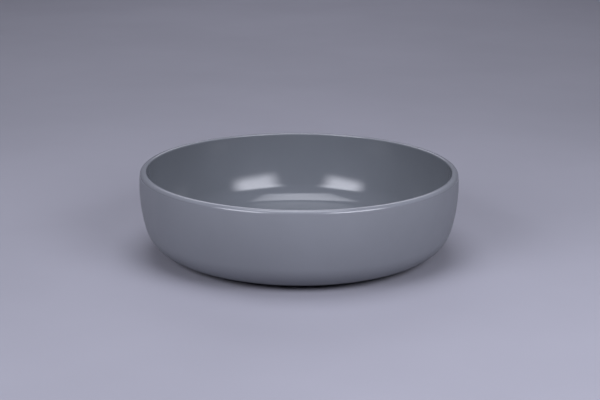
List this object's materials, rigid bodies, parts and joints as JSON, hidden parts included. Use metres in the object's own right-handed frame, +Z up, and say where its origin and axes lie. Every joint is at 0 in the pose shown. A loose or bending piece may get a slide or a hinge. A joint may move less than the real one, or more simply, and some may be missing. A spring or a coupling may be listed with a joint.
{
  "type": "bowl",
  "caption": "Round shallow bowl with an upright wall and a rounded heel, matt outside and glossy inside, on a soft non-slip ring set in its foot.",
  "frame": {"origin": "on the bowl's axis, at the level of the surface the ring stands on", "axes": "+Z up along the bowl's axis; the bowl is round, so X and Y are any two directions across it"},
  "size_m": [0.22, 0.22, 0.0582],
  "materials": {
    "moulded_bowl": "mid grey moulded melamine: satin matt outside, polished gloss inside and over the rim's inner corner",
    "soft_ring": "dark grey silicone rubber, matt"
  },
  "bodies": {
    "root": {"bowl_body": "moulded_bowl", "non_slip_ring": "soft_ring"}
  },
  "joints": []
}
